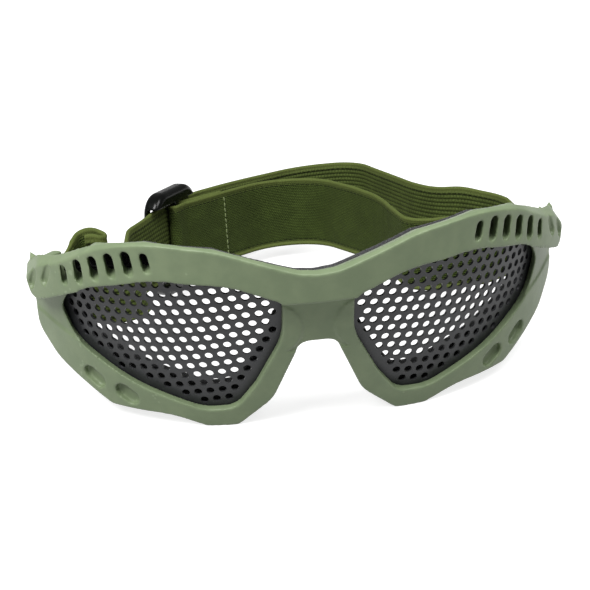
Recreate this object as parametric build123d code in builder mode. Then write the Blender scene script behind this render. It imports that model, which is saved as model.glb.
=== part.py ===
from build123d import *
from math import asin, atan, ceil, cos, hypot, radians, sin
import os

os.makedirs("parts", exist_ok=True)

# Mesh safety goggles, standing as they rest on a table: on the two rims and the back of the strap.
# +X is to the right of someone facing the goggles, +Y runs from the lenses to the back of the strap.

# Wrap of the frame, as two plan curves: one at the table and one above the brow
low_height = 0.0
high_height = 76.0
low_setback = 15.0
high_setback = -0.6
low_middle_radius = 500.0
high_middle_radius = 112.0
low_middle_angle = 3.0
high_middle_angle = 16.0
low_side_radius = 77.0
high_side_radius = 92.0
low_side_angle = 57.0
high_side_angle = 56.0
temple_length = 16.0

# Frame moulding
plate_thickness = 3.0
skirt_depth = 9.0
skirt_wall = 2.0
brow_proud_low = 3.8
brow_proud_high = 1.2
brow_sink = 1.2
skirt_reach_x = 84.6
foam_reach_x = 79.4
ear_plate_top = 50.0
overrun = 20.0

# Rim outline, right half
bridge_underside = 33.6
arch_half_width = 5.6
arch_corner_radius = 4.2
nose_side_x = 14.6
nose_side_z = 10.4
nose_side_radius = 14.0
foot_inner_x = 27.0
foot_outer_x = 34.0
foot_drop = 1.0
foot_radius = 10.0
lower_edge_x = 47.0
lower_edge_z = 4.4
lower_edge_radius = 25.0
corner_x = 66.5
corner_z = 4.4
corner_radius = 4.0
cheek_x = 83.0
cheek_z = 15.6
cheek_radius = 12.0
side_x = 88.6
side_z = 23.5
side_radius = 10.0
ear_underside = 39.0

# Brow band, right half: crest, ear and lower edge
crest_middle_z = 62.0
crest_inner_x = 6.0
crest_inner_z = 62.6
crest_rise_x = 31.0
crest_rise_z = 71.4
crest_top_x = 51.0
crest_top_z = 71.9
crest_fall_x = 66.0
crest_fall_z = 67.3
crest_radius = 40.0
ear_dip_x = 79.6
ear_dip_z = 56.4
ear_dip_radius = 4.0
ear_top_x = 85.6
ear_top_z = 52.6
ear_tip_x = 90.4
ear_tip_z = 46.0
ear_radius = 4.0
ear_bottom_x = 88.6
band_outer_x = 70.0
band_outer_z = 51.6
band_mid_x = 50.0
band_mid_z = 58.9
band_inner_x = 27.0
band_inner_z = 58.2
band_corner_x = 11.6
band_corner_z = 51.6
band_radius = 30.0
band_corner_radius = 3.5

# Roof of the skirt: it falls from just under the crest to the foam
roof_drop = 1.5
foam_drop = 6.4
roof_thickness = 2.0
roof_outer_x = 80.0

# Block behind each ear, where the lug is rooted
ear_block_inner_x = 78.4
ear_block_outer_x = 86.8
ear_block_low_z = 43.0
ear_block_high_z = 50.4
ear_block_radius = 2.0
ear_block_depth = 3.6

# Hollow of the bridge between the two rims
hollow_half_width = 12.0
hollow_low_z = 30.0
hollow_depth = 0.6
hollow_gap = 5.1
hollow_radius = 11.0
hollow_centre_z = 39.6

# Hollow beside each lens, above the crease of the cheek
crease_inner_x = 74.0
crease_inner_z = 26.4
crease_outer_x = 92.0
crease_outer_z = 32.4

# Lens openings, right one
opening_inner_x = 11.2
opening_inner_z = 36.0
opening_inner_radius = 24.0
opening_nose_x = 20.0
opening_nose_z = 17.0
opening_nose_radius = 20.0
opening_foot_x = 26.6
opening_foot_z = 7.4
opening_foot_radius = 7.0
opening_low_x = 37.0
opening_low_z = 7.0
opening_low_radius = 14.0
opening_cheek_x = 59.0
opening_cheek_z = 15.8
opening_cheek_radius = 70.0
opening_side_x = 75.6
opening_side_z = 26.4
opening_side_radius = 14.0
opening_tip_x = 79.6
opening_tip_z = 37.5
opening_tip_radius = 8.0
opening_top_x = 74.6
opening_top_z = 48.2
opening_top_radius = 6.0
opening_tuck = 0.7

# Vents in the brow, counted from the nose side along the wrap
vent_count = 6
groove_count = 2
vent_first_along = 52.2
vent_pitch = 6.0
groove_first_step = 8.8
groove_step = 7.0
groove_rise = 2.0
vent_crown_x = 43.0
vent_crown_z = 65.8
vent_fall_radius = 39.5
vent_width = 3.2
vent_height = 8.2
vent_end_width = 2.6
vent_end_height = 6.6
vent_clearance = 1.5
vent_lean = 10.0
groove_width = 2.8
groove_height = 8.4
groove_depth = 1.0
groove_lean = -24.0

# Blind pockets at the lower outer corners
pocket_length = 9.0
pocket_width = 5.8
pocket_depth = 2.2
pocket_inner_along = 63.7
pocket_inner_z = 10.2
pocket_outer_along = 76.4
pocket_outer_z = 13.8
pocket_turn = 33.0

# Perforated steel lenses and the rings that hold them
lens_gap = 0.1
lens_thickness = 0.8
lens_border = 1.7
seat_clearance = 0.2
hole_diameter = 2.6
hole_reach = 4.0
hole_pitch = 4.2
hole_edge = 0.5
hole_row_turn = -8.0
hole_first_along = 8.0
hole_last_along = 92.0
retainer_width = 2.0
retainer_thickness = 1.0

# Foam
foam_gap = 0.3
foam_thickness = 4.0
foam_width = 11.0
foam_lap = 3.2
foam_lap_inward = 1.5
foam_lap_up = 1.0
foam_nose_half_width = 9.0
foam_temple_x = 70.0
foam_split_z = 40.0
foam_split_gap = 0.6

# Strap and the lugs that hold it
strap_width = 26.0
strap_thickness = 1.3
lug_x = 80.0
lug_behind_front = 60.0
lug_height_z = 33.2
bar_size = 3.2
bar_clearance = 0.35
lug_arm = 3.0
lug_slot = 20.5
lug_arm_width = 3.6
lug_elbow_x = 3.4
lug_elbow_ahead = 5.0
lug_foot_x = 87.0
lug_foot_ahead = 12.0
lug_sink = 0.4
gathered_width = 19.5
gathered_to = 3.0
full_width_from = 14.0
loop_tail_x = 70.6
loop_ply_gap = 0.1
loop_curl_x = 64.2
loop_curl_back = 8.2
loop_curl_radius = 3.0
loop_fold_x = 72.4
loop_root_x = 76.0
loop_root_radius = 1.6
bend_share = 0.98
swing_behind_bar = 6.0
swing_radius = 18.0
swing_gap = 0.3

# Route of the strap in its own plane: x across, and the distance behind the lug bars
outer_side_x = 77.4
outer_side_back = 22.0
outer_side_radius = 16.0
outer_turn_x = 54.0
outer_turn_back = 41.0
outer_turn_radius = 34.0
outer_far_x = 38.5
strap_reach = 94.0
outer_far_radius = 13.0
outer_near_x = 14.0
outer_near_radius = 34.0
glide_start_x = -30.5
glide_start_back = 62.0
glide_start_radius = 20.0
glide_end_x = -56.1
glide_end_back = 20.6
glide_end_radius = 12.0
left_turn_x = -57.5
left_turn_radius = 6.0
wrap_right_out = 0.75
inner_front_x = 39.5
inner_front_back = -4.5
inner_front_radius = 9.0
inner_side_x = 36.5
inner_side_back = 34.0
inner_side_radius = 40.0
inner_far_x = 18.0
inner_far_back = 70.5
inner_far_radius = 18.0
inner_near_x = -3.0
inner_near_back = 70.5
inner_near_radius = 24.0
seam_along = 19.0

# Slider, with the strap's straight stretch through it
slider_length = 30.0
slider_rail = 5.0
slider_slot = 29.0
slider_rise = 1.25
slider_bar = 4.0
slider_bar_thickness = 1.8
middle_bar = 3.2
slider_clearance = 0.2
ply_clearance = 0.15
slider_from_bend = 4.5
slider_edge_radius = 2.2
slider_corner_radius = 8.0
sewn_turn = 1.4
sewn_bend_radius = 3.0
sewn_leave = 4.0
sewn_join = 7.0
seam_gap = 0.3

# Derived places
half_strap = strap_width / 2
strap_end = strap_reach + strap_thickness / 2
strap_slope = asin(lug_height_z / hypot(strap_end, half_strap)) - atan(half_strap / strap_end)
wrap_rake = (low_setback - high_setback) / (high_height - low_height)
brow_lean = (brow_proud_low - brow_proud_high) / (crest_top_z - ear_plate_top)
brow_proud_middle = brow_proud_low - brow_lean * (crest_middle_z - ear_plate_top)
brow_ahead = brow_proud_middle - low_setback + wrap_rake * (crest_middle_z - low_height)
lug_to_back = strap_end * cos(strap_slope) + half_strap * sin(strap_slope)
overall_depth = brow_ahead + lug_behind_front + lug_to_back
front_y = brow_ahead - overall_depth / 2
lug_y = front_y + lug_behind_front
strap_plane = Plane(
    origin=(0, lug_y, lug_height_z),
    x_dir=(1, 0, 0),
    z_dir=(0, sin(strap_slope), cos(strap_slope)),
)


# Wrap of the frame

low_level = (
    low_height, low_setback, low_middle_radius, low_middle_angle, low_side_radius, low_side_angle
)
high_level = (
    high_height, high_setback, high_middle_radius, high_middle_angle, high_side_radius,
    high_side_angle
)


def level_place(level, along):
    """Point and turn of one plan curve at a length along it from the middle."""
    height, setback, middle_radius, middle_angle, side_radius, side_angle = level
    middle = radians(middle_angle)
    side = radians(side_angle)
    middle_length = middle_radius * middle
    side_length = side_radius * (side - middle)
    turn = min(along, middle_length) / middle_radius
    x = middle_radius * sin(turn)
    y = front_y + setback + middle_radius * (1 - cos(turn))
    if along > middle_length:
        turn = middle + min(along - middle_length, side_length) / side_radius
        x += side_radius * (sin(turn) - sin(middle))
        y += side_radius * (cos(middle) - cos(turn))
    if along > middle_length + side_length:
        rest = along - middle_length - side_length
        x += rest * cos(turn)
        y += rest * sin(turn)
    return x, y, turn


def wrap_plane(along, height, inset=0.0):
    """Plane on the right half of the wrap: X along it, Y up, Z out of its front."""
    share = (height - low_height) / (high_height - low_height)
    low_x, low_y, low_turn = level_place(low_level, along)
    high_x, high_y, high_turn = level_place(high_level, along)
    turn = low_turn + share * (high_turn - low_turn)
    x = low_x + share * (high_x - low_x) - inset * sin(turn)
    y = low_y + share * (high_y - low_y) + inset * cos(turn)
    return Plane(
        origin=(x, y, height), x_dir=(cos(turn), sin(turn), 0), z_dir=(sin(turn), -cos(turn), 0)
    )


def brow_front(height):
    """Inset of the brow's front, which leans back towards the crest."""
    return brow_lean * (height - ear_plate_top) - brow_proud_low


def wrap_block(near, far, temple=temple_length):
    """Solid between two copies of the wrap, each given as its inset and its shift to the back.

    An inset is a length, or a function that gives one for each height.
    """
    with BuildPart() as block:
        for level in (low_level, high_level):
            height, setback, middle_radius, middle_angle, side_radius, side_angle = level
            turn = radians(middle_angle)
            step = middle_radius - side_radius
            with BuildSketch(Plane.XY.offset(height)):
                with BuildLine():
                    ends = []
                    for inset, shift in (near, far):
                        if callable(inset):
                            inset = inset(height)
                        middle_y = front_y + setback + middle_radius + shift
                        CenterArc((0, middle_y), middle_radius - inset, -90, middle_angle)
                        side = CenterArc(
                            (step * sin(turn), middle_y - step * cos(turn)),
                            side_radius - inset,
                            middle_angle - 90,
                            side_angle - middle_angle,
                        )
                        end = Line(side @ 1, side @ 1 + side % 1 * temple)
                        ends.append(end @ 1)
                    Line(*ends)
                    mirror(about=Plane.YZ)
                make_face()
        loft(ruled=True)
    return block.part


# Outlines seen from the front, as corners with their radii, right half from the middle outwards

rim_corners = [
    (arch_half_width, bridge_underside, arch_corner_radius),
    (nose_side_x, nose_side_z, nose_side_radius),
    (foot_inner_x, low_height - foot_drop, foot_radius),
    (foot_outer_x, low_height - foot_drop, foot_radius),
    (lower_edge_x, lower_edge_z, lower_edge_radius),
    (corner_x, corner_z, corner_radius),
    (cheek_x, cheek_z, cheek_radius),
    (side_x, side_z, side_radius),
    (side_x, ear_plate_top, 0),
    (roof_outer_x, ear_plate_top, 0),
]
crest_corners = [
    (crest_fall_x, crest_fall_z),
    (crest_top_x, crest_top_z),
    (crest_rise_x, crest_rise_z),
    (crest_inner_x, crest_inner_z),
]
brow_corners = [
    (band_corner_x, band_corner_z, band_corner_radius),
    (band_inner_x, band_inner_z, band_radius),
    (band_mid_x, band_mid_z, band_radius),
    (band_outer_x, band_outer_z, band_radius),
    (ear_bottom_x, ear_underside, ear_radius / 2),
    (ear_tip_x, ear_tip_z, ear_radius),
    (ear_top_x, ear_top_z, ear_radius),
    (ear_dip_x, ear_dip_z, ear_dip_radius),
    (crest_fall_x, crest_fall_z, crest_radius),
    (crest_top_x, crest_top_z, crest_radius),
    (crest_rise_x, crest_rise_z, crest_radius),
    (crest_inner_x, crest_inner_z, crest_radius / 4),
]
opening_corners = [
    (opening_inner_x, opening_inner_z, opening_inner_radius),
    (opening_nose_x, opening_nose_z, opening_nose_radius),
    (opening_foot_x, opening_foot_z, opening_foot_radius),
    (opening_low_x, opening_low_z, opening_low_radius),
    (opening_cheek_x, opening_cheek_z, opening_cheek_radius),
    (opening_side_x, opening_side_z, opening_side_radius),
    (opening_tip_x, opening_tip_z, opening_tip_radius),
    (opening_top_x, opening_top_z, opening_top_radius),
    (band_outer_x, band_outer_z + opening_tuck, band_radius / 2),
    (band_mid_x, band_mid_z + opening_tuck, band_radius),
    (band_inner_x, band_inner_z + opening_tuck, band_radius),
    (opening_inner_x, band_corner_z + opening_tuck, band_corner_radius),
]


def half_outline(first_z, corners, last_z):
    """Both halves of an outline that meets the middle line at two heights."""
    with BuildSketch(Plane.XZ) as outline:
        with BuildLine():
            points = [(0, first_z)] + [(x, z) for x, z, radius in corners] + [(0, last_z)]
            FilletPolyline(*points, radius=[radius for x, z, radius in corners])
            mirror(about=Plane.YZ)
        make_face()
    return outline.sketch


def opening_outline(growth):
    """Both lens openings, grown all round."""
    with BuildSketch(Plane.XZ) as outline:
        with BuildLine():
            points = [(x, z) for x, z, radius in opening_corners]
            FilletPolyline(*points, radius=[radius for x, z, radius in opening_corners], close=True)
        make_face()
        if growth:
            offset(amount=growth)
        mirror(about=Plane.YZ)
    return outline.sketch


def through(outline, block):
    """Part of a block that lies behind an outline seen from the front."""
    with BuildPart() as cut:
        add(block)
        with BuildSketch(Plane.XZ):
            add(outline)
        extrude(amount=overall_depth, both=True, mode=Mode.INTERSECT)
    return cut.part


def clipped(outline, reach_x, inset):
    """Outline cut off at the sides and drawn in all round."""
    with BuildSketch(Plane.XZ) as cut:
        add(outline)
        Rectangle(2 * reach_x, 2 * high_height, mode=Mode.INTERSECT)
        if inset:
            offset(amount=-inset)
    return cut.sketch


def rim_below(drop):
    """Outline of the rim with its top a given drop below the crest."""
    top = [(x, z - drop, 0) for x, z in crest_corners]
    return half_outline(bridge_underside, rim_corners + top, crest_middle_z - drop)


rim_outline = rim_below(roof_drop)
brow_outline = half_outline(band_corner_z, brow_corners, crest_middle_z)
skirt_outline = clipped(rim_outline, skirt_reach_x, 0)
cavity_outline = clipped(rim_outline, skirt_reach_x, skirt_wall)
open_outline = clipped(rim_outline - rim_below(foam_drop + roof_thickness), roof_outer_x, 0)
skirt_block = wrap_block((0, 0), (0, skirt_depth))


def sloping(upper_drop, lower_drop):
    """Slab that falls to the back from a strip under the crest, as the roof of the skirt does."""
    strip = clipped(rim_below(upper_drop) - rim_below(lower_drop), roof_outer_x, 0)
    slab = through(strip, wrap_block((plate_thickness / 2, 0), (plate_thickness, 0)))
    fall = Vector(0, skirt_depth, roof_drop - foam_drop)
    with BuildPart() as slope:
        for face in slab.faces():
            if face.normal_at().Y > abs(face.normal_at().Z) and face.center().Z > ear_plate_top:
                extrude(face, amount=fall.length, dir=fall.normalized())
    return slope.part

# Cuts in the front of the brow and the corners, right half only; the vents run straight to the back

with BuildPart() as cuts:
    for i in range(vent_count):
        along = vent_first_along + i * vent_pitch
        x = wrap_plane(along, vent_crown_z).origin.X
        z = vent_crown_z - (x - vent_crown_x) ** 2 / (2 * vent_fall_radius)
        at_end = i in (0, vent_count - 1)
        width = vent_end_width if at_end else vent_width
        height = vent_end_height if at_end else vent_height
        front = wrap_plane(along, z, brow_front(z))
        with BuildSketch(front):
            lean = 90 - vent_lean * (1 - i / vent_count)
            SlotOverall(height, width, rotation=lean)
        reach = (brow_front(z) - plate_thickness - vent_clearance) / front.z_dir.Y
        extrude(amount=reach, dir=(0, 1, 0), both=True)
    for i in range(groove_count):
        along = vent_first_along + (vent_count - 1) * vent_pitch + groove_first_step + i * groove_step
        x = wrap_plane(along, vent_crown_z).origin.X
        z = vent_crown_z + groove_rise - (x - vent_crown_x) ** 2 / (2 * vent_fall_radius)
        with BuildSketch(wrap_plane(along, z, brow_front(z) - vent_clearance)):
            SlotOverall(groove_height, groove_width, rotation=90 - groove_lean)
        extrude(amount=-vent_clearance - groove_depth)
    for along, z in ((pocket_inner_along, pocket_inner_z), (pocket_outer_along, pocket_outer_z)):
        with BuildSketch(wrap_plane(along, z, -vent_clearance)):
            SlotOverall(pocket_length, pocket_width, rotation=pocket_turn)
        extrude(amount=-vent_clearance - pocket_depth)

# Lugs for the strap, right one: a bar between two arms that run into the ear plate

with BuildPart() as lug:
    for way in (1, -1):
        inner = way * lug_slot / 2
        with BuildSketch(strap_plane.offset(inner)):
            with BuildLine():
                FilletPolyline(
                    (lug_x, 0),
                    (lug_x + lug_elbow_x, -lug_elbow_ahead),
                    (lug_foot_x, -lug_foot_ahead),
                    radius=lug_arm_width / 2,
                )
            trace(line_width=lug_arm_width)
        extrude(amount=way * lug_arm)
    with BuildSketch(strap_plane):
        with Locations((lug_x, 0)):
            Circle(bar_size / 2)
    extrude(amount=lug_slot / 2 + lug_arm / 2, both=True)
    add(wrap_block((lug_sink, 0), (0, overall_depth)), mode=Mode.INTERSECT)

# Frame moulding

with BuildSketch(Plane.XZ) as hollow_outline:
    with Locations((0, (hollow_low_z + band_corner_z) / 2)):
        Rectangle(2 * hollow_half_width, band_corner_z - hollow_low_z)
    with Locations(*[(way * (hollow_gap + hollow_radius), hollow_centre_z) for way in (1, -1)]):
        Circle(hollow_radius, mode=Mode.SUBTRACT)
    with BuildLine():
        Polyline(
            (crease_inner_x, crease_inner_z),
            (crease_outer_x, crease_outer_z),
            (crease_outer_x, band_outer_z),
            (crease_inner_x, band_outer_z),
            close=True,
        )
    make_face()
    mirror(about=Plane.YZ)
with BuildSketch(Plane.XZ) as ear_outline:
    with BuildLine():
        FilletPolyline(
            (ear_block_inner_x, ear_block_low_z),
            (ear_block_outer_x, ear_block_low_z),
            (ear_block_outer_x, ear_block_high_z),
            (ear_block_inner_x, ear_block_high_z),
            radius=ear_block_radius,
            close=True,
        )
    make_face()
    mirror(about=Plane.YZ)

with BuildPart() as frame:
    add(through(skirt_outline, skirt_block))
    cavity = wrap_block((plate_thickness, 0), (0, skirt_depth + overrun))
    add(through(cavity_outline, cavity), mode=Mode.SUBTRACT)
    add(through(open_outline, cavity), mode=Mode.SUBTRACT)
    roof = sloping(roof_drop, roof_drop + roof_thickness)
    with BuildPart(mode=Mode.PRIVATE) as trimmed_roof:
        add(roof)
        add(skirt_block, mode=Mode.INTERSECT)
    add(trimmed_roof.part)
    add(through(rim_outline, wrap_block((0, 0), (plate_thickness, 0))))
    add(through(hollow_outline.sketch, wrap_block((-overrun, 0), (hollow_depth, 0))), mode=Mode.SUBTRACT)
    add(through(ear_outline.sketch, wrap_block((0, 0), (0, ear_block_depth))))
    add(through(brow_outline, wrap_block((brow_front, 0), (brow_sink, 0))))
    with BuildSketch(Plane.XZ):
        add(opening_outline(0))
    extrude(amount=overall_depth, both=True, mode=Mode.SUBTRACT)
    add(lug.part)
    add(lug.part.mirror(Plane.YZ))
    add(cuts.part, mode=Mode.SUBTRACT)
    add(cuts.part.mirror(Plane.YZ), mode=Mode.SUBTRACT)
frame.part.label = "frame"
export_step(frame.part, "parts/frame.step")

# Perforated lenses and the rings behind them

lens_inset = plate_thickness + lens_gap
ring_inset = lens_inset + lens_thickness + lens_gap
lens_block = wrap_block((lens_inset, 0), (lens_inset + lens_thickness, 0))
ring_block = wrap_block((ring_inset, 0), (ring_inset + retainer_thickness, 0))
seat_outline = clipped(rim_outline, skirt_reach_x, skirt_wall + seat_clearance)
hole_limit = opening_outline(-hole_diameter / 2 - hole_edge).faces().sort_by(Axis.X)[-1]
row_step = hole_pitch * sin(radians(60))
hole_planes = []
for row in range(ceil(high_height / row_step)):
    for column in range(ceil(hole_last_along / hole_pitch)):
        across = hole_first_along + (column + row % 2 / 2) * hole_pitch
        rise = row * row_step + across * sin(radians(hole_row_turn))
        place = wrap_plane(across, rise, lens_inset + lens_thickness / 2)
        if hole_limit.is_inside(Vector(place.origin.X, 0, rise)):
            hole_planes.append(place)

with BuildPart() as lens_right:
    with BuildSketch(Plane.XZ) as lens_outline:
        add(opening_outline(lens_border))
        add(seat_outline, mode=Mode.INTERSECT)
    add(through(lens_outline.sketch, lens_block).solids().sort_by(Axis.X)[-1])
    with Locations(*hole_planes):
        Cylinder(hole_diameter / 2, hole_reach, mode=Mode.SUBTRACT)
for name, lens in (
    ("lens_mesh_right", lens_right.part),
    ("lens_mesh_left", lens_right.part.mirror(Plane.YZ)),
):
    lens.label = name
    export_step(lens, f"parts/{name}.step")

with BuildPart() as ring_right:
    with BuildSketch(Plane.XZ) as ring_outline:
        add(opening_outline(retainer_width))
        add(seat_outline, mode=Mode.INTERSECT)
        add(opening_outline(0), mode=Mode.SUBTRACT)
    add(through(ring_outline.sketch, ring_block).solids().sort_by(Axis.X)[-1])
for name, ring in (
    ("lens_retainer_right", ring_right.part),
    ("lens_retainer_left", ring_right.part.mirror(Plane.YZ)),
):
    ring.label = name
    export_step(ring, f"parts/{name}.step")

# Face foam behind the skirt

foam_shift = skirt_depth + foam_gap
foam_block = wrap_block((0, foam_shift), (0, foam_shift + foam_thickness))
foam_outline = clipped(rim_below(foam_drop), foam_reach_x, 0)
with BuildSketch(Plane.XZ) as brow_hole:
    add(clipped(foam_outline, foam_temple_x + foam_width, foam_width))
    Rectangle(2 * foam_temple_x, 2 * high_height, mode=Mode.INTERSECT)
    Rectangle(2 * foam_nose_half_width, 2 * high_height, mode=Mode.SUBTRACT)
with BuildSketch(Plane.XZ) as lower_hole:
    lens_hole = opening_outline(-foam_lap).faces().sort_by(Axis.X)[-1]
    add(lens_hole.moved(Location((-foam_lap_inward, 0, foam_lap_up))))
    Rectangle(2 * foam_temple_x, 2 * high_height, mode=Mode.INTERSECT)
with BuildPart() as foam_brow:
    add(through(foam_outline - brow_hole.sketch, foam_block))
    split(bisect_by=Plane.XY.offset(foam_split_z + foam_split_gap / 2), keep=Keep.TOP)
foam_brow.part.label = "foam_brow"
export_step(foam_brow.part, "parts/foam_brow.step")
with BuildPart() as foam_lower_right:
    add(through(foam_outline - lower_hole.sketch, foam_block))
    split(bisect_by=Plane.XY.offset(foam_split_z - foam_split_gap / 2), keep=Keep.BOTTOM)
    split(bisect_by=Plane.YZ.offset(foam_split_gap / 2), keep=Keep.TOP)
for name, foam in (
    ("foam_lower_right", foam_lower_right.part),
    ("foam_lower_left", foam_lower_right.part.mirror(Plane.YZ)),
):
    foam.label = name
    export_step(foam, f"parts/{name}.step")


# Strap

def moved_route(route, shift):
    """Route moved to its left, with the bends kept concentric; each corner is x, back, radius."""
    moved = []
    last = len(route) - 1
    for i, (x, back, radius) in enumerate(route):
        here = Vector(x, back)
        came = (here - Vector(*route[max(i - 1, 0)][:2])) if i else None
        goes = (Vector(*route[min(i + 1, last)][:2]) - here) if i < last else came
        came = came or goes
        came = came.normalized()
        goes = goes.normalized()
        left = Vector(-came.Y - goes.Y, came.X + goes.X)
        place = here + left * (shift / (1 + came.dot(goes)))
        turn = came.X * goes.Y - came.Y * goes.X
        moved.append((place.X, place.Y, radius - shift if turn > 0 else radius + shift))
    return moved


def webbing(route):
    """Strap of full width along a route in the strap's plane."""
    with BuildPart() as web:
        with BuildSketch(strap_plane):
            with BuildLine():
                sides = []
                for shift in (strap_thickness / 2, -strap_thickness / 2):
                    corners = moved_route(route, shift)
                    sides.append(
                        FilletPolyline(
                            *[(x, back) for x, back, radius in corners],
                            radius=[radius for x, back, radius in corners[1:-1]],
                        )
                    )
                Line(sides[0] @ 0, sides[1] @ 0)
                Line(sides[0] @ 1, sides[1] @ 1)
            make_face()
        extrude(amount=half_strap, both=True)
    return web.part


bar_bend = (bar_size + strap_thickness) / 2 + bar_clearance
bar_radius = bar_bend * bend_share
bar_side_x = lug_x + bar_bend
ply = strap_thickness + loop_ply_gap
loop_tail_back = ply - bar_bend

# Straight stretch where the slider rides
glide_start = Vector(glide_start_x, glide_start_back)
glide_end = Vector(glide_end_x, glide_end_back)
glide = (glide_end - glide_start).normalized()
inward = Vector(-glide.Y, glide.X)
slider_centre = glide_start + glide * (slider_length / 2 + slider_from_bend)
slider_plane = Plane(
    origin=strap_plane.from_local_coords((slider_centre.X, slider_centre.Y, slider_rise)),
    x_dir=strap_plane.from_local_coords(glide) - strap_plane.origin,
    z_dir=strap_plane.z_dir,
)
slider_face = Plane(origin=slider_plane.origin, x_dir=slider_plane.x_dir, z_dir=slider_plane.y_dir)

# Levels in the slider, counted inward from the middle of the strap that runs through it
end_bar_inner = -strap_thickness / 2 - slider_clearance
end_bar_outer = end_bar_inner - slider_bar_thickness
back_ply = strap_thickness + slider_clearance
middle_bar_outer = back_ply + strap_thickness / 2 + ply_clearance
middle_bar_inner = middle_bar_outer + slider_bar_thickness
front_ply = middle_bar_inner + ply_clearance + strap_thickness / 2
sewn_turn_along = middle_bar / 2 + sewn_turn
sewn_radius = (front_ply - back_ply) / 2 * bend_share


def by_slider(along, level):
    """Place in the strap's plane, given along the slider's run and inward from it."""
    place = slider_centre + glide * along + inward * level
    return place.X, place.Y


leave = Vector(*by_slider(-sewn_leave, front_ply))
inner_near = Vector(inner_near_x, inner_near_back)
home = (inner_near - leave).normalized()
beside = Vector(-home.Y, home.X) * (strap_thickness + ply_clearance)
seam_end = leave + home * seam_along
seam_start = seam_end + home * seam_gap
join = leave + home * sewn_join + beside
seam_back_end = seam_end + beside

strap_route = [
    (-loop_tail_x, loop_tail_back, 0),
    (-loop_curl_x, loop_tail_back, loop_curl_radius),
    (-loop_curl_x, loop_curl_back, loop_curl_radius),
    (-loop_fold_x, loop_curl_back, loop_curl_radius),
    (-loop_root_x, bar_bend, loop_root_radius),
    (-bar_side_x, bar_bend, bar_radius),
    (-bar_side_x, -bar_bend, bar_radius),
    (left_turn_x, -bar_bend, left_turn_radius),
    (glide_end_x, glide_end_back, glide_end_radius),
    (glide_start_x, glide_start_back, glide_start_radius),
    (outer_near_x, strap_reach, outer_near_radius),
    (outer_far_x, strap_reach, outer_far_radius),
    (outer_turn_x, outer_turn_back, outer_turn_radius),
    (outer_side_x, outer_side_back, outer_side_radius),
    (bar_side_x + wrap_right_out, -bar_bend, bar_radius),
    (inner_front_x, inner_front_back, inner_front_radius),
    (inner_side_x, inner_side_back, inner_side_radius),
    (inner_far_x, inner_far_back, inner_far_radius),
    (inner_near_x, inner_near_back, inner_near_radius),
    (seam_start.X, seam_start.Y, 0),
]
sewn_route = [
    (seam_back_end.X, seam_back_end.Y, 0),
    (join.X, join.Y, sewn_bend_radius),
    (*by_slider(-sewn_leave / 2, back_ply), sewn_bend_radius),
    (*by_slider(sewn_turn_along, back_ply), sewn_radius),
    (*by_slider(sewn_turn_along, front_ply), sewn_radius),
    (leave.X, leave.Y, sewn_bend_radius),
    (seam_end.X, seam_end.Y, 0),
]

# Strap gathered where it passes through the lugs
with BuildPart() as gather:
    with BuildSketch(Plane(origin=strap_plane.origin, x_dir=(1, 0, 0), z_dir=-strap_plane.y_dir)):
        with BuildLine():
            Polyline(
                (lug_x, gathered_width / 2),
                (lug_x + gathered_to, gathered_width / 2),
                (lug_x + full_width_from, half_strap),
                (lug_x + full_width_from, strap_width),
                (lug_x, strap_width),
                close=True,
            )
        make_face()
    lug_axis = Axis(strap_plane.from_local_coords((lug_x, 0, 0)), strap_plane.z_dir)
    revolve(axis=lug_axis)
    mirror(about=strap_plane)
    mirror(about=Plane.YZ)

swing_centre = strap_plane.from_local_coords((0, swing_behind_bar, 0))
swing_round = Plane(origin=swing_centre, z_dir=(1, 0, 0))
with BuildPart() as strap:
    add(webbing(strap_route))
    add(gather.part, mode=Mode.SUBTRACT)
with BuildPart() as strap_back:
    add(strap.part)
    with BuildSketch(swing_round):
        Circle(swing_radius + swing_gap / 2)
    extrude(amount=2 * lug_x, both=True, mode=Mode.SUBTRACT)
with BuildPart() as strap_front:
    add(strap.part)
    with BuildSketch(swing_round):
        Circle(swing_radius - swing_gap / 2)
    extrude(amount=2 * lug_x, both=True, mode=Mode.INTERSECT)
runs = strap_back.part.solids().sort_by(SortBy.VOLUME)
stubs = strap_front.part.solids().sort_by(Axis.X)
with BuildPart() as sewn:
    add(webbing(sewn_route))
for name, solid in (
    ("strap_outer_run", runs[-1]),
    ("strap_inner_run", runs[0]),
    ("strap_loop_left", stubs[0]),
    ("strap_wrap_right", stubs[-1]),
    ("slider_sewn_loop", sewn.part.solid()),
):
    solid.label = name
    export_step(solid, f"parts/{name}.step")

# Slider

slider_width = slider_slot + 2 * slider_rail
with BuildPart() as slider:
    with BuildSketch(slider_face.offset(end_bar_outer)):
        RectangleRounded(slider_length, slider_width, slider_corner_radius)
    extrude(amount=middle_bar_inner - end_bar_outer)
    across = Axis(slider_face.origin, slider_face.z_dir)
    fillet(slider.edges().filter_by(across, reverse=True), slider_edge_radius)
    with BuildSketch(slider_plane):
        with Locations((0, end_bar_inner)):
            Rectangle(2 * slider_length, slider_width, align=(Align.CENTER, Align.MIN))
        Rectangle(slider_length - 2 * slider_bar, slider_width)
    extrude(amount=slider_slot / 2, both=True, mode=Mode.SUBTRACT)
    with BuildSketch(slider_plane):
        with Locations((0, middle_bar_outer)):
            Rectangle(middle_bar, slider_bar_thickness, align=(Align.CENTER, Align.MIN))
    extrude(amount=(slider_slot + slider_rail) / 2, both=True)
slider.part.label = "slider"
export_step(slider.part, "parts/slider.step")
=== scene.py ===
import math
import random

import bmesh
import bpy
from mathutils import Matrix, Vector, noise


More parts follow.
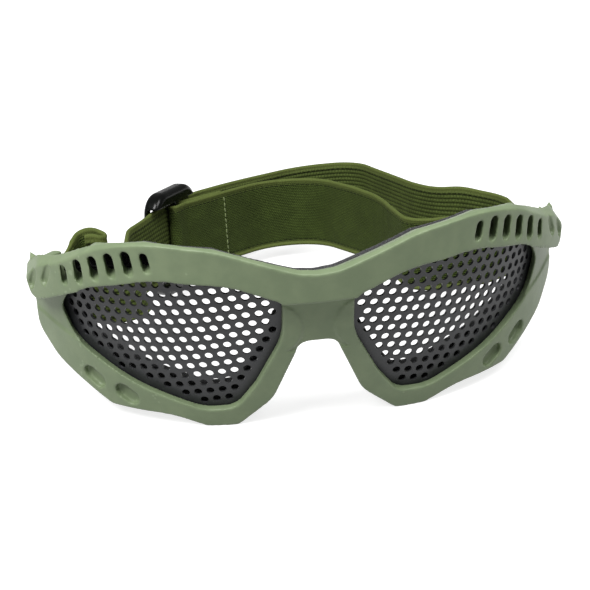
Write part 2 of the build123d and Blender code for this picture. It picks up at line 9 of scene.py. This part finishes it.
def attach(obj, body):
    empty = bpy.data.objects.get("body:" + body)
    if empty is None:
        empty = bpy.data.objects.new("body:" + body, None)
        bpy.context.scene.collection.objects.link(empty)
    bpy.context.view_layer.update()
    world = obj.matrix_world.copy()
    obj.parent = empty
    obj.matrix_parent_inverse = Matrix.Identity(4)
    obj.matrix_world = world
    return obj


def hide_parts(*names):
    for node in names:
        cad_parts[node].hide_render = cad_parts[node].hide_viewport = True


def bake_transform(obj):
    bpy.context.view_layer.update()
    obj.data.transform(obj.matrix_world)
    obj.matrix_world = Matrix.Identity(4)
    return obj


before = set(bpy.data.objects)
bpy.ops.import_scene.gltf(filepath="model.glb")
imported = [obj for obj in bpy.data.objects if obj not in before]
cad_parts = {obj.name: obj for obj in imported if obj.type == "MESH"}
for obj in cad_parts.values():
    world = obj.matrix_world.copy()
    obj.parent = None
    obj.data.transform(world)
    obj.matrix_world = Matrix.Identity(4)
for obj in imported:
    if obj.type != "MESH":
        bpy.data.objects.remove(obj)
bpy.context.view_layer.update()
random.seed(7)

MM = 0.001


# Camera at the photograph's viewing angle

CAMERA_PLACE = Vector((-50.52, -424.81, 257.93)) * MM
CAMERA_RIGHT = Vector((0.98930, -0.14169, -0.03476))
CAMERA_UP = Vector((0.10072, 0.49098, 0.86533))
CAMERA_LENS = 82.57
CAMERA_SENSOR = 36


def add_camera():
    """Camera of the photograph: from the left, about 30 degrees above the goggles."""
    back = CAMERA_RIGHT.cross(CAMERA_UP)
    data = bpy.data.cameras.new("camera")
    data.lens = CAMERA_LENS
    data.sensor_width = CAMERA_SENSOR
    camera = bpy.data.objects.new("camera", data)
    turn = Matrix((CAMERA_RIGHT, CAMERA_UP, back)).transposed().to_4x4()
    camera.matrix_world = Matrix.Translation(CAMERA_PLACE) @ turn
    bpy.context.collection.objects.link(camera)
    bpy.context.scene.camera = camera


add_camera()
bpy.context.scene.view_settings.view_transform = "Standard"


# Node helpers

def set_inputs(tree, made, inputs):
    """Sets a node's sockets, each by name or as i and its number, or joins them to another node."""
    for key, value in inputs.items():
        numbered = key[1:].isdigit()
        socket = made.inputs[int(key[1:]) if numbered else key.replace("_", " ")]
        if isinstance(value, bpy.types.NodeSocket):
            tree.links.new(value, socket)
        else:
            socket.default_value = value


class Tree:
    """Short way to place and join shader nodes."""

    def __init__(self, tree):
        self.tree = tree

    def node(self, kind, settings=None, **inputs):
        made = self.tree.nodes.new(kind)
        for key, value in (settings or {}).items():
            setattr(made, key, value)
        set_inputs(self.tree, made, inputs)
        return made

    def math(self, operation, *values):
        inputs = {f"i{i}": value for i, value in enumerate(values)}
        return self.node("ShaderNodeMath", {"operation": operation}, **inputs).outputs[0]

    def mix(self, share, first, second, blend="MIX"):
        settings = {"data_type": "RGBA", "blend_type": blend}
        return self.node("ShaderNodeMix", settings, i0=share, i6=first, i7=second).outputs[2]

    def spread(self, value, low, high, settings=None):
        """Value between low and high stretched to 0 to 1."""
        made = self.node("ShaderNodeMapRange", settings, Value=value, From_Min=low, From_Max=high)
        return made.outputs[0]

    def ramp(self, value, low, high):
        """The same with a soft start and end."""
        return self.spread(value, low, high, {"interpolation_type": "SMOOTHSTEP"})

    def noise(self, place, scale, detail, rough):
        made = self.node("ShaderNodeTexNoise", Vector=place, Scale=scale, Detail=detail, Roughness=rough)
        return made.outputs[0]

    def place(self):
        return self.node("ShaderNodeTexCoord").outputs["Object"]

    def band_place(self):
        """Place on the webbing in mm: along it and across it."""
        uv = self.node("ShaderNodeUVMap", {"uv_map": "band"}).outputs[0]
        return self.node("ShaderNodeSeparateXYZ", Vector=uv).outputs

    def wave(self, value):
        """Humps of height 1, one for each whole number."""
        return self.math("ABSOLUTE", self.math("SINE", self.math("MULTIPLY", value, math.pi)))

    def join(self, value, socket):
        self.tree.links.new(value, socket)


def new_group(name, inputs, outputs):
    """Node group with named float inputs (name, default) and named float outputs."""
    tree = bpy.data.node_groups.new(name, "ShaderNodeTree")
    for label, default in inputs:
        socket = tree.interface.new_socket(label, in_out="INPUT", socket_type="NodeSocketFloat")
        socket.default_value = default
    for label in outputs:
        tree.interface.new_socket(label, in_out="OUTPUT", socket_type="NodeSocketFloat")
    t = Tree(tree)
    return t, t.node("NodeGroupInput").outputs, t.node("NodeGroupOutput").inputs


def add_group(t, name, **inputs):
    """Places a group in a tree with its own values."""
    made = t.tree.nodes.new("ShaderNodeGroup")
    made.node_tree = bpy.data.node_groups[name]
    set_inputs(t.tree, made, inputs)
    return made.outputs


# Effects that several finishes share

BROAD_SHARE = 0.06
RUB_NOISE_SCALE = 260.0
RUB_BREAK = 0.05
STITCH_LINE_WIDE, STITCH_LINE_FULL = 0.35, 0.15
STITCH_STEP = 2.1
ROLL_WIDTH = 0.5
BAND_MIDDLE = 20.0
STITCH_REACH = 10.6


def make_fine_grain():
    """Grain of one size, and slow patches of tone many times larger."""
    t, given, out = new_group("fine_grain", [("Size mm", 1.0)], ["Height", "Patches"])
    place = t.place()
    scale = t.math("DIVIDE", 1000.0, given["Size mm"])
    t.join(t.noise(place, scale, 4.0, 0.6), out["Height"])
    broad = t.noise(place, t.math("MULTIPLY", scale, BROAD_SHARE), 3.0, 0.55)
    t.join(t.ramp(broad, 0.35, 0.68), out["Patches"])


def make_rubbed_edges():
    """Mask of the outer edges, broken up where they are rubbed."""
    t, given, out = new_group("rubbed_edges", [("From", 0.52), ("To", 0.62)], ["Mask"])
    convex = t.node("ShaderNodeNewGeometry").outputs["Pointiness"]
    speckle = t.noise(t.place(), RUB_NOISE_SCALE, 5.0, 0.65)
    broken = t.math("MULTIPLY_ADD", speckle, RUB_BREAK, -RUB_BREAK / 2)
    raised = t.math("ADD", convex, broken)
    t.join(t.spread(raised, given["From"], given["To"]), out["Mask"])


def make_knit():
    """Height of the knit's loops, in rows that run along the webbing."""
    sizes = [("Along mm", 1.0), ("Across mm", 1.0), ("Stagger", 0.5), ("Beads", 0.5)]
    t, given, out = new_group("knit", sizes, ["Height"])
    uv = t.band_place()
    along = t.math("DIVIDE", uv[0], given["Along mm"])
    across = t.math("DIVIDE", uv[1], given["Across mm"])
    row = t.math("FLOOR", across)
    loop = t.wave(t.math("ADD", along, t.math("MULTIPLY", row, given["Stagger"])))
    flat = t.math("SUBTRACT", 1.0, given["Beads"])
    beads = t.math("MULTIPLY_ADD", loop, given["Beads"], flat)
    t.join(t.math("MULTIPLY", beads, t.wave(across)), out["Height"])


def make_stitch_hole_shade_and_roll():
    """Painted shade of a dashed row of stitch holes beside each cord, and the cord's own rolled edge."""
    sizes = [("Middle mm", BAND_MIDDLE), ("Reach mm", STITCH_REACH)]
    t, given, out = new_group("stitch_hole_shade_and_roll", sizes, ["Mask", "Roll"])
    uv = t.band_place()
    reach = t.math("ABSOLUTE", t.math("SUBTRACT", uv[1], given["Middle mm"]))
    past = t.math("SUBTRACT", reach, given["Reach mm"])
    line = t.spread(t.math("ABSOLUTE", past), STITCH_LINE_WIDE, STITCH_LINE_FULL)
    dash = t.wave(t.math("DIVIDE", uv[0], STITCH_STEP))
    t.join(t.math("MULTIPLY", line, t.ramp(dash, 0.3, 0.6)), out["Mask"])
    t.join(t.ramp(past, 0.0, ROLL_WIDTH), out["Roll"])


make_fine_grain()
make_rubbed_edges()
make_knit()
make_stitch_hole_shade_and_roll()


# Finishes

def new_finish(name, ior=1.5, sheen=0.0):
    """Material with a Principled shader; plain numbers go straight on its sockets."""
    material = bpy.data.materials.new(name)
    material.use_nodes = True
    material.node_tree.nodes.clear()
    t = Tree(material.node_tree)
    shader = t.node("ShaderNodeBsdfPrincipled", IOR=ior)
    shader.inputs["Sheen Weight"].default_value = sheen
    t.node("ShaderNodeOutputMaterial", Surface=shader.outputs[0])
    return material, t, shader


def feed(t, shader, colour, rough, height, depth, strength=1.0):
    """Joins colour, roughness and a bump of a given depth in metres to the shader."""
    relief = t.node("ShaderNodeBump", Height=height, Distance=depth, Strength=strength).outputs[0]
    t.join(colour, shader.inputs["Base Color"])
    t.join(rough, shader.inputs["Roughness"])
    t.join(relief, shader.inputs["Normal"])


def hard_finish(name, ior, grain_mm, dark, pale, rough, swing, depth, strength, rub=None):
    """Moulded or painted surface; rub gives where edges wear, how much, and to which colour."""
    material, t, shader = new_finish(name, ior=ior)
    grain = add_group(t, "fine_grain", Size_mm=grain_mm)
    colour = t.mix(grain["Patches"], dark, pale)
    if rub:
        start, end, share, tint = rub
        worn = add_group(t, "rubbed_edges", From=start, To=end)
        colour = t.mix(t.math("MULTIPLY", worn["Mask"], share), colour, tint)
    roughness = t.math("MULTIPLY_ADD", grain["Height"], swing, rough)
    feed(t, shader, colour, roughness, grain["Height"], depth, strength)
    return material


def face_foam():
    """Charcoal open-cell foam, with painted shade in the hollows of its cells."""
    material, t, shader = new_finish("face_foam", sheen=0.15)
    grain = add_group(t, "fine_grain", Size_mm=1.2)
    cells = t.node("ShaderNodeTexVoronoi", Vector=t.place(), Scale=1700.0).outputs["Distance"]
    pore = t.ramp(cells, 0.1, 0.5)
    # darker in the hollows of the cells: painted shade
    colour = t.mix(pore, (0.028, 0.029, 0.031, 1), (0.010, 0.010, 0.011, 1))
    colour = t.mix(t.math("MULTIPLY", grain["Patches"], 0.35), colour, (0.042, 0.043, 0.046, 1))
    height = t.math("SUBTRACT", grain["Height"], pore)
    rough = t.math("MULTIPLY_ADD", pore, 0.08, 0.88)
    feed(t, shader, colour, rough, height, 0.3 * MM, 0.8)
    return material


def elastic(name, dark, pale, along, across, stagger, beads, depth, fuzz):
    """Olive elastic webbing: loops of the knit with painted shade between them, painted shade of the
    stitch holes beside the cords, fuzz and slow changes of tone. Sizes in mm.
    """
    material, t, shader = new_finish(name, ior=1.25, sheen=0.06)
    shader.inputs["Sheen Roughness"].default_value = 0.5
    shader.inputs["Sheen Tint"].default_value = (0.5, 0.6, 0.2, 1)
    grain = add_group(t, "fine_grain", Size_mm=fuzz)
    loops = add_group(t, "knit", Along_mm=along, Across_mm=across, Stagger=stagger, Beads=beads)
    # paler on the knit's raised loops and darker between them: painted shade of the knit, with the fuzz as
    # random tone
    fuzz_and_loop_shade = t.math("MULTIPLY_ADD", grain["Height"], 0.7, t.math("MULTIPLY", loops["Height"], 0.75))
    colour = t.mix(t.ramp(fuzz_and_loop_shade, 0.25, 0.95), dark, pale)
    mottle = t.mix(grain["Patches"], (0.86, 0.86, 0.86, 1), (1.08, 1.08, 1.08, 1))
    colour = t.mix(1.0, colour, mottle, "MULTIPLY")
    stitch_hole_shade_and_cord_roll = add_group(t, "stitch_hole_shade_and_roll")
    colour = t.mix(t.math("MULTIPLY", stitch_hole_shade_and_cord_roll["Roll"], 0.7), colour, (0.085, 0.110, 0.028, 1))
    # dark dashes beside each cord: painted shade of the stitch holes
    colour = t.mix(t.math("MULTIPLY", stitch_hole_shade_and_cord_roll["Mask"], 0.75), colour, (0.006, 0.009, 0.002, 1))
    height = t.math("ADD", loops["Height"], t.math("MULTIPLY", grain["Height"], 0.6))
    rough = t.math("MULTIPLY_ADD", grain["Height"], 0.12, 0.8)
    feed(t, shader, colour, rough, height, depth * MM, 0.9)
    return material


def thread_pale():
    """Pale olive sewing thread."""
    material, t, shader = new_finish("thread_pale", sheen=0.2)
    grain = add_group(t, "fine_grain", Size_mm=0.25)
    colour = t.mix(grain["Height"], (0.13, 0.17, 0.06, 1), (0.22, 0.27, 0.11, 1))
    rough = t.math("MULTIPLY_ADD", grain["Height"], 0.2, 0.6)
    feed(t, shader, colour, rough, grain["Height"], 0.08 * MM)
    return material


RIB = 1.44

GREEN = hard_finish(
    "moulded_green", ior=1.42, grain_mm=0.5, dark=(0.178, 0.232, 0.130, 1), pale=(0.205, 0.262, 0.148, 1),
    rough=0.36, swing=0.16, depth=0.04 * MM, strength=0.6, rub=(0.53, 0.66, 0.45, (0.32, 0.40, 0.25, 1)),
)
STEEL = hard_finish(
    "painted_steel", ior=1.4, grain_mm=0.4, dark=(0.014, 0.015, 0.017, 1), pale=(0.023, 0.024, 0.027, 1),
    rough=0.34, swing=0.2, depth=0.03 * MM, strength=0.5, rub=(0.5, 0.7, 0.3, (0.085, 0.085, 0.09, 1)),
)
RING = hard_finish(
    "ring_black", ior=1.5, grain_mm=0.6, dark=(0.012, 0.012, 0.013, 1), pale=(0.022, 0.022, 0.024, 1),
    rough=0.45, swing=0.2, depth=0.04 * MM, strength=0.5,
)
BLACK = hard_finish(
    "slider_black", ior=1.3, grain_mm=1.5, dark=(0.0015, 0.002, 0.0015, 1), pale=(0.003, 0.0035, 0.003, 1),
    rough=0.17, swing=0.14, depth=0.05 * MM, strength=0.35, rub=(0.54, 0.7, 0.25, (0.02, 0.022, 0.02, 1)),
)
FOAM = face_foam()
RIBBED = elastic(
    "elastic_ribbed", (0.028, 0.040, 0.008, 1), (0.066, 0.090, 0.020, 1),
    along=1.3, across=RIB, stagger=0.5, beads=0.75, depth=0.3, fuzz=0.35,
)
PLUSH = elastic(
    "elastic_plush", (0.022, 0.034, 0.006, 1), (0.054, 0.080, 0.015, 1),
    along=0.8, across=0.62, stagger=0.5, beads=0.9, depth=0.28, fuzz=0.45,
)
EDGE = elastic(
    "elastic_edge", (0.062, 0.084, 0.018, 1), (0.150, 0.185, 0.046, 1),
    along=0.8, across=3.0, stagger=0.0, beads=0.6, depth=0.18, fuzz=0.3,
)
THREAD = thread_pale()


# Floor, backdrop and light

FLOOR_SIZE = 6
FLOOR_SEEN = 0.45
FLOOR_GLOW = 0.78
FLOOR_BOUNCE = 0.28
WORLD_LIGHT = 0.22
WORLD_EXTRA_SEEN = 0.78
WHITE = (1, 1, 1, 1)
LAMP_TARGET = (0, 0, 0.03)


def grey(level):
    return (level, level, level, 1)


def any_ray(t, *kinds):
    """1 for the kinds of ray that see the backdrop instead of being lit by it."""
    seen = t.node("ShaderNodeLightPath")
    shown = seen.outputs[kinds[0]]
    for kind in kinds[1:]:
        shown = t.math("MAXIMUM", shown, seen.outputs[kind])
    return shown


def add_floor():
    """Pale floor that shows white to the camera but keeps a soft shadow."""
    bpy.ops.mesh.primitive_plane_add(size=FLOOR_SIZE)
    floor = bpy.context.object
    floor.name = "floor"
    material = bpy.data.materials.new("pale_floor")
    material.use_nodes = True
    material.node_tree.nodes.clear()
    t = Tree(material.node_tree)
    bounce = t.node("ShaderNodeBsdfDiffuse", Color=grey(FLOOR_BOUNCE))
    cloth = t.node("ShaderNodeBsdfDiffuse", Color=grey(FLOOR_SEEN))
    glow = t.node("ShaderNodeEmission", Color=WHITE, Strength=FLOOR_GLOW)
    shown = any_ray(t, "Is Camera Ray", "Is Glossy Ray", "Is Transmission Ray")
    both = t.node("ShaderNodeAddShader", i0=cloth.outputs[0], i1=glow.outputs[0])
    mixed = t.node("ShaderNodeMixShader", i0=shown, i1=bounce.outputs[0], i2=both.outputs[0])
    t.node("ShaderNodeOutputMaterial", Surface=mixed.outputs[0])
    floor.data.materials.append(material)


def add_world():
    """Even studio light, white where the camera sees it."""
    world = bpy.data.worlds.new("studio")
    bpy.context.scene.world = world
    world.use_nodes = True
    world.node_tree.nodes.clear()
    t = Tree(world.node_tree)
    shown = any_ray(t, "Is Camera Ray", "Is Transmission Ray")
    level = t.math("MULTIPLY_ADD", shown, WORLD_EXTRA_SEEN, WORLD_LIGHT)
    light = t.node("ShaderNodeBackground", Color=WHITE, Strength=level)
    t.node("ShaderNodeOutputWorld", Surface=light.outputs[0])


def add_lamp(name, place, size, power):
    data = bpy.data.lights.new(name, "AREA")
    data.size = size
    data.energy = power
    lamp = bpy.data.objects.new(name, data)
    lamp.location = place
    aim = Vector(LAMP_TARGET) - Vector(place)
    lamp.rotation_euler = aim.to_track_quat("-Z", "Y").to_euler()
    bpy.context.collection.objects.link(lamp)


add_floor()
add_world()
add_lamp("key", (-0.45, -0.34, 0.88), size=0.45, power=11.0)
add_lamp("top", (0.34, -0.24, 0.98), size=0.5, power=6.8)


# Skins over CAD nodes: rounded edges on the same shape

SOFTEN_SHARE = 0.5


def settle(piece):
    """Turns the modifiers into the mesh itself."""
    graph = bpy.context.evaluated_depsgraph_get()
    made = bpy.data.meshes.new_from_object(piece.evaluated_get(graph))
    piece.modifiers.clear()
    piece.data = made


def add_skin(name, node, material, body, voxel, smooth):
    """Closed copy of a CAD node with its edges rounded off; voxel in mm."""
    piece = bpy.data.objects.new(name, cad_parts[node].data.copy())
    bpy.context.collection.objects.link(piece)
    remesh = piece.modifiers.new("remesh", "REMESH")
    remesh.mode = "VOXEL"
    remesh.voxel_size = voxel * MM
    remesh.use_smooth_shade = True
    soften = piece.modifiers.new("soften", "SMOOTH")
    soften.factor = SOFTEN_SHARE
    soften.iterations = smooth
    settle(piece)
    piece.data.materials.clear()
    piece.data.materials.append(material)
    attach(piece, body)
    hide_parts(node)
    return piece


add_skin("frame_skin", "frame", GREEN, "goggles", voxel=0.36, smooth=14)
add_skin("slider_skin", "slider", BLACK, "strap_slider", voxel=0.35, smooth=12)
for name in ("foam_brow", "foam_lower_left", "foam_lower_right"):
    pad = add_skin(name + "_pad", name, FOAM, "goggles", voxel=0.6, smooth=6)

for name, material in (
    ("lens_mesh_left", STEEL), ("lens_mesh_right", STEEL),
    ("lens_retainer_left", RING), ("lens_retainer_right", RING),
):
    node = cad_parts[name]
    node.data.materials.clear()
    node.data.materials.append(material)


# Elastic strap: sizes in mm, seen in the strap's own sloping plane

LUG_BACK = -17.56
LUG_HEIGHT = 33.2
LUG_X = 80.0
SLOPE = math.radians(12.514)
HALF = 13.0
GATHERED = 9.75
GATHER_START, GATHER_LENGTH = 3.0, 11.0
POINT_STEP = 0.9
LEAST_STEP = 0.02


def from_strap(x, back, up=0.0):
    """Place in metres of a point given across, behind the lugs and up in the strap's own plane."""
    y = LUG_BACK + back * math.cos(SLOPE) + up * math.sin(SLOPE)
    z = LUG_HEIGHT - back * math.sin(SLOPE) + up * math.cos(SLOPE)
    return Vector((x, y, z)) * MM


def rounded(route, step=1.0):
    """Points along a route of x, back, radius with its corners turned as arcs."""
    points = [Vector(route[0][:2])]
    for i in range(1, len(route) - 1):
        here = Vector(route[i][:2])
        came = (here - Vector(route[i - 1][:2])).normalized()
        goes = (Vector(route[i + 1][:2]) - here).normalized()
        turn = math.atan2(came.x * goes.y - came.y * goes.x, came.dot(goes))
        radius = route[i][2]
        start = here - came * radius * math.tan(abs(turn) / 2)
        side = math.copysign(1, turn)
        centre = start + Vector((-came.y, came.x)) * radius * side
        arm = start - centre
        count = max(3, round(radius * abs(turn) / step))
        for k in range(count + 1):
            angle = turn * k / count
            points.append(centre + Vector((
                arm.x * math.cos(angle) - arm.y * math.sin(angle),
                arm.x * math.sin(angle) + arm.y * math.cos(angle),
            )))
    points.append(Vector(route[-1][:2]))
    filled = [points[0]]
    for point in points[1:]:
        last = filled[-1]
        gap = (point - last).length
        if gap > LEAST_STEP:
            pieces = math.ceil(gap / step)
            filled += [last.lerp(point, k / pieces) for k in range(1, pieces + 1)]
    return filled


CORD = 0.7
CORD_ROOM = 2.1
CORD_STEPS = 10
CORD_START, CORD_SWEEP = 118, 236
PLUSH_STEPS = 26
PLUSH_OUT, PLUSH_EDGE_OUT = 0.55, 0.3
RIB_STEPS = 6
RIB_VALLEY, RIB_RISE, RIB_ROUND = 0.48, 0.15, 0.7
RIBBED_FACE, PLUSH_FACE, EDGE_FACE = 0, 1, 2


def cord_points(middle, start):
    """Points round a cord's section from a start angle."""
    angles = (math.radians(start - CORD_SWEEP * k / CORD_STEPS) for k in range(CORD_STEPS + 1))
    return [(middle + CORD * math.cos(a), CORD * math.sin(a), EDGE_FACE) for a in angles]


def band_profile():
    """Section of the webbing as (up, out, face): plush side, top cord, ribbed side, bottom cord."""
    flat = HALF - CORD_ROOM * CORD
    loop = []
    for k in range(PLUSH_STEPS + 1):
        up = -flat + 2 * flat * k / PLUSH_STEPS
        loop.append((up, PLUSH_OUT if 0 < k < PLUSH_STEPS else PLUSH_EDGE_OUT, PLUSH_FACE))
    loop += cord_points(HALF - CORD, CORD_START)
    count = round(2 * flat / RIB * RIB_STEPS)
    for k in range(count + 1):
        up = flat - 2 * flat * k / count
        ridge = abs(math.sin(math.pi * up / RIB)) ** RIB_ROUND
        loop.append((up, -RIB_VALLEY - RIB_RISE * ridge, RIBBED_FACE))
    loop += cord_points(CORD - HALF, CORD_START - 180)
    return loop


def held(value):
    """Value kept between 0 and 1."""
    return min(1.0, max(0.0, value))


def gathered_share(point):
    """Share of its full width that the webbing keeps near a lug's bar."""
    reach = min((point - Vector((side * LUG_X, 0))).length for side in (1, -1))
    share = held((reach - GATHER_START) / GATHER_LENGTH)
    return (GATHERED + (HALF - GATHERED) * share) / HALF


def finish_piece(name, mesh, materials):
    """Object of the elastic made from a mesh that is then freed."""
    data = bpy.data.meshes.new(name)
    mesh.to_mesh(data)
    mesh.free()
    for material in materials:
        data.materials.append(material)
    piece = bpy.data.objects.new(name, data)
    bpy.context.collection.objects.link(piece)
    return piece


def band(name, route, shape):
    """Closed mesh of the webbing along a route; shape(point, run, up, out) gives a point's up and out."""
    points = rounded(route, POINT_STEP)
    profile = band_profile()
    mesh = bmesh.new()
    uv = mesh.loops.layers.uv.new("band")
    rings = []
    run = 0.0
    runs = []
    for i, point in enumerate(points):
        if i:
            run += (point - points[i - 1]).length
        runs.append(run)
        ahead = (points[min(i + 1, len(points) - 1)] - points[max(i - 1, 0)]).normalized()
        left = Vector((-ahead.y, ahead.x))
        ring = []
        for up, out, face in profile:
            up, out = shape(point, run, up, out)
            place = point + left * out
            ring.append(mesh.verts.new(from_strap(place.x, place.y, up)))
        rings.append(ring)
    size = len(profile)
    for i in range(len(rings) - 1):
        for k in range(size):
            n = (k + 1) % size
            made = mesh.faces.new((rings[i][k], rings[i][n], rings[i + 1][n], rings[i + 1][k]))
            first, second = profile[k][2], profile[n][2]
            made.material_index = first if first == second else EDGE_FACE
            made.smooth = True
            spots = ((runs[i], k), (runs[i], n), (runs[i + 1], n), (runs[i + 1], k))
            for corner, (along, which) in zip(made.loops, spots):
                corner[uv].uv = (along, profile[which][0] + BAND_MIDDLE)
    for ring in (rings[0][::-1], rings[-1]):
        cap = mesh.faces.new(ring)
        cap.material_index = EDGE_FACE
    bmesh.ops.recalc_face_normals(mesh, faces=mesh.faces)
    return finish_piece(name, mesh, (RIBBED, PLUSH, EDGE))


# Places along the straight stretch where the slider rides, as in the CAD

BAR_BEND = 2.6
BAR_RADIUS = 2.548
PLY_RADIUS = 1.666
GLIDE_START = Vector((-30.5, 62.0))
GLIDE_END = Vector((-56.1, 20.6))
GLIDE = (GLIDE_END - GLIDE_START).normalized()
INWARD = Vector((-GLIDE.y, GLIDE.x))
SLIDER = GLIDE_START + GLIDE * 19.5
BACK_PLY, FRONT_PLY, PLY_STEP = 1.5, 4.9, 1.45
SEAM_LENGTH = 19.0
SPLIT_SHARE = 0.8


def by_slider(along, level):
    """Place beside the slider's middle, along its stretch and inward from it."""
    return SLIDER + GLIDE * along + INWARD * level


LEAVE = by_slider(-4.0, FRONT_PLY)
INNER_NEAR = Vector((-3.0, 70.5))
HOME = (INNER_NEAR - LEAVE).normalized()
BESIDE = Vector((-HOME.y, HOME.x)) * PLY_STEP
SEAM_END = LEAVE + HOME * SEAM_LENGTH
RIGHT_NEAR = Vector((39.5, -4.5))
RIGHT_FAR = Vector((36.5, 34.0))
SPLIT = RIGHT_NEAR.lerp(RIGHT_FAR, SPLIT_SHARE)

OUTER_ROUTE = [
    (-70.6, -1.2, 0), (-64.2, -1.2, 3.0), (-64.2, 8.2, 3.0), (-72.4, 8.2, 3.0), (-76.0, BAR_BEND, 1.6),
    (-82.6, BAR_BEND, BAR_RADIUS), (-82.6, -BAR_BEND, BAR_RADIUS), (-57.5, -BAR_BEND, 6.0),
    (*GLIDE_END, 12.0), (*GLIDE_START, 20.0), (14.0, 94.0, 34.0), (38.5, 94.0, 13.0),
    (54.0, 41.0, 34.0), (77.4, 22.0, 16.0), (83.35, -BAR_BEND, BAR_RADIUS), (*RIGHT_NEAR, 9.0),
    (*SPLIT, 0),
]
INNER_ROUTE = [
    (*SPLIT, 0), (*RIGHT_FAR, 40.0), (18.0, 70.5, 18.0), (*INNER_NEAR, 24.0), (*LEAVE, 3.0),
    (*by_slider(3.0, FRONT_PLY), PLY_RADIUS), (*by_slider(3.0, BACK_PLY), PLY_RADIUS),
    (*by_slider(-2.0, BACK_PLY), 3.0), (*(LEAVE + HOME * 7.0 + BESIDE), 3.0), (*(SEAM_END + BESIDE), 0),
]


# How the webbing departs from a flat band

WANDER, TOP_WANDER, INNER_WANDER = 0.25, 0.3, 0.2
PLEAT_DEPTH, PLEAT_TURN = 2.2, 0.75
LEAN_OUT, LEAN_AT, LEAN_WIDTH, LEAN_FROM = 6.0, 8.0, 12.0, -40
CURL_LENGTH, CURL_RISE, CURL_AT, CURL_WIDTH = 31.0, 5.0, -69.0, 8.0
CURL_CLEAR, CURL_BUILD, CURL_WAVE = 2.2, 3.0, 0.5
FAR_START, FAR_LENGTH, FAR_RISE, FAR_FALL, FAR_FALL_FROM = 20.0, 25.0, 1.7, 0.012, 20.0
RIGHT_HILL, RIGHT_HILL_AT, RIGHT_HILL_WIDTH = 1.2, 67.0, 6.0
LEFT_HILL, LEFT_HILL_AT, LEFT_HILL_WIDTH, LEFT_HILL_FROM = 1.0, 40.0, 8.0, -30
INNER_RISE, SLIDER_RISE, INNER_BUILD = 1.4, 0.5, 24.0
SLIDER_RISE_FROM, SLIDER_RISE_LENGTH = 11.0, 31.0
RISE_MIDDLE, RISE_TOP = 0.65, 0.35


def bump_at(value, centre, width):
    """Smooth hill of height 1 around a centre."""
    return math.exp(-((value - centre) / width) ** 2)


def lay_outer(point, run, up, out):
    """Gathers the outer band at the lugs and lets its edges wander as the elastic does."""
    share = gathered_share(point)
    wander = noise.noise(Vector((run * 0.03, 3.0, 0)))
    top = max(0.0, up / HALF)
    low = max(0.0, -up / HALF)
    out += (1 - share) * PLEAT_DEPTH * math.sin(up * PLEAT_TURN) + WANDER * wander * up / HALF
    past_curl = run > CURL_LENGTH
    out -= LEAN_OUT * low * bump_at(point.y, LEAN_AT, LEAN_WIDTH) * (point.x < LEAN_FROM) * past_curl
    up *= share
    if run < CURL_LENGTH:
        bar = Vector((-LUG_X, 0))
        reach = held(((point - bar).length - CURL_CLEAR) / CURL_BUILD)
        up += top * reach * (HALF * (1 - share) + CURL_RISE * bump_at(point.x, CURL_AT, CURL_WIDTH))
        out += CURL_WAVE * math.sin(CURL_WAVE * run) * top
    far = held((point.y - FAR_START) / FAR_LENGTH)
    fall = FAR_FALL * max(0.0, point.x + FAR_FALL_FROM)
    up += top * far * (FAR_RISE - fall) + TOP_WANDER * wander * top
    up += top * RIGHT_HILL * bump_at(point.x, RIGHT_HILL_AT, RIGHT_HILL_WIDTH) * (point.y > FAR_START)
    up += top * LEFT_HILL * bump_at(point.y, LEFT_HILL_AT, LEFT_HILL_WIDTH) * (point.x < LEFT_HILL_FROM)
    return up, out


def lay_inner(point, run, up, out):
    """Lets the inner band stand a little higher towards the slider."""
    wander = noise.noise(Vector((run * 0.035, 8.0, 0)))
    share = held((SLIDER_RISE_FROM - point.x) / SLIDER_RISE_LENGTH)
    rise = (INNER_RISE + SLIDER_RISE * share) * min(1.0, run / INNER_BUILD)
    half = up / HALF
    up += rise * (RISE_MIDDLE + RISE_TOP * half) + WANDER * wander * half
    return up, out + INNER_WANDER * wander * half


def add_band(name, route, shape, nodes):
    """Webbing laid along a route that stands in for CAD nodes, which are hidden."""
    piece = band(name, route, shape)
    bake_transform(piece)
    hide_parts(*nodes)


add_band(
    "outer_band", OUTER_ROUTE, lay_outer,
    nodes=("strap_loop_left", "strap_wrap_right", "strap_outer_run"),
)
add_band(
    "inner_band", INNER_ROUTE, lay_inner,
    nodes=("strap_inner_run", "slider_sewn_loop"),
)


# Pale stitches across the inner band at the end of its sewn loop

STITCH_PITCH = 2.0
STITCH_HALF = 0.85
STITCH_RADIUS = 0.28
STITCH_TILT = 0.15
PLUSH_LEVEL = 0.58
SEAM_BEFORE_END = 26.0
to_slider = rounded(INNER_ROUTE[:6])
SEAM_RUN = sum((b - a).length for a, b in zip(to_slider, to_slider[1:])) - SEAM_BEFORE_END


def add_stitches(name, low, high):
    """Row of short thread loops on the plush side, from one height to another in the strap's plane."""
    side = Vector((HOME.y, -HOME.x))
    mesh = bmesh.new()
    for i in range(int((high - low) / STITCH_PITCH)):
        middle = low + (i + 0.5) * STITCH_PITCH
        tilt = random.uniform(-STITCH_TILT, STITCH_TILT)
        for vertex in bmesh.ops.create_icosphere(mesh, subdivisions=2, radius=1.0)["verts"]:
            x, y, z = vertex.co
            level = PLUSH_LEVEL + y * STITCH_RADIUS
            up, out = lay_inner(SEAM_END, SEAM_RUN, middle + z * STITCH_HALF, level)
            place = SEAM_END + HOME * (x * STITCH_RADIUS + tilt * z) + side * out
            vertex.co = from_strap(place.x, place.y, up)
    for face in mesh.faces:
        face.smooth = True
    piece = finish_piece(name, mesh, (THREAD,))
    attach(piece, "strap_slider")


add_stitches("seam_stitches", -11.0, 11.0)
